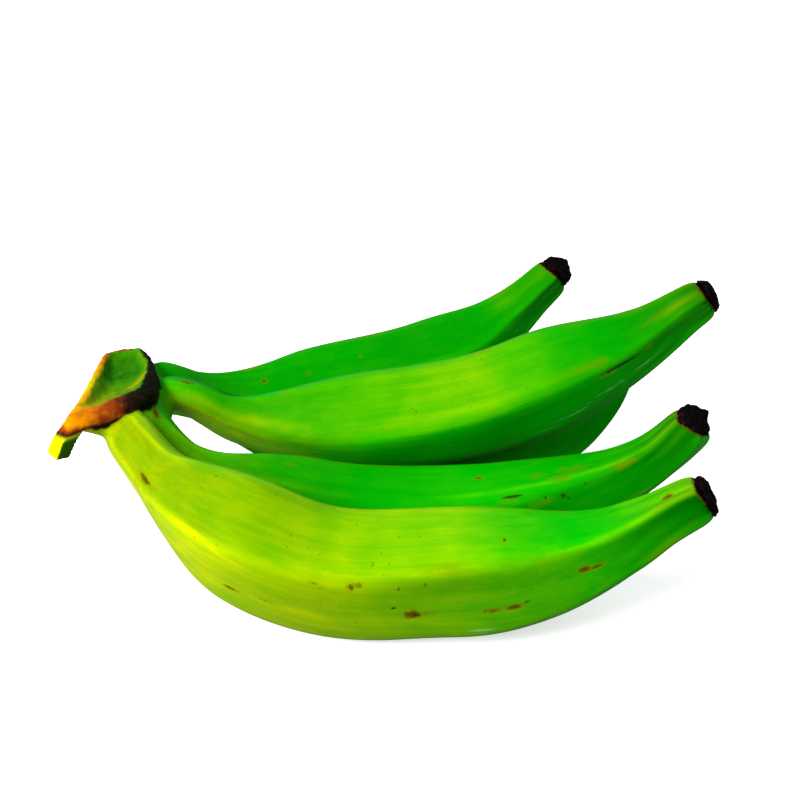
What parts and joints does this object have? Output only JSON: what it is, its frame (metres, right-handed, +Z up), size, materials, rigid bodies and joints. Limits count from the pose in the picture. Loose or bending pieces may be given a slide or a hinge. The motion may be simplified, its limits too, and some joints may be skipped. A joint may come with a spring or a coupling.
{
  "type": "hand of plantains",
  "caption": "Hand of green plantains joined at a cut crown, curved five-sided fingers with dried black flower ends, lying flat.",
  "frame": {"origin": "middle of the underside of the hand's box, on the surface that it lies on", "axes": "+X along the hand from the crown to the flower ends, +Y from the front finger to the back one, +Z up"},
  "size_m": [0.2724, 0.1814, 0.1098],
  "materials": {
    "green_peel": "waxy satin peel, green to yellow-green, with fine lengthwise fibres, specks and brown scars",
    "cut_stalk": "fibrous cut stalk, green and yellow, with an orange-brown to black dried rim",
    "dried_flower": "matt, crumpled, brown-black"
  },
  "bodies": {
    "root": {"crown": "cut_stalk", "finger_front": "green_peel", "finger_second": "green_peel", "finger_upper": "green_peel", "finger_back": "green_peel", "finger_lower_back": "green_peel", "flower_end_front": "dried_flower", "flower_end_second": "dried_flower", "flower_end_upper": "dried_flower", "flower_end_back": "dried_flower", "flower_end_lower_back": "dried_flower"}
  },
  "joints": []
}
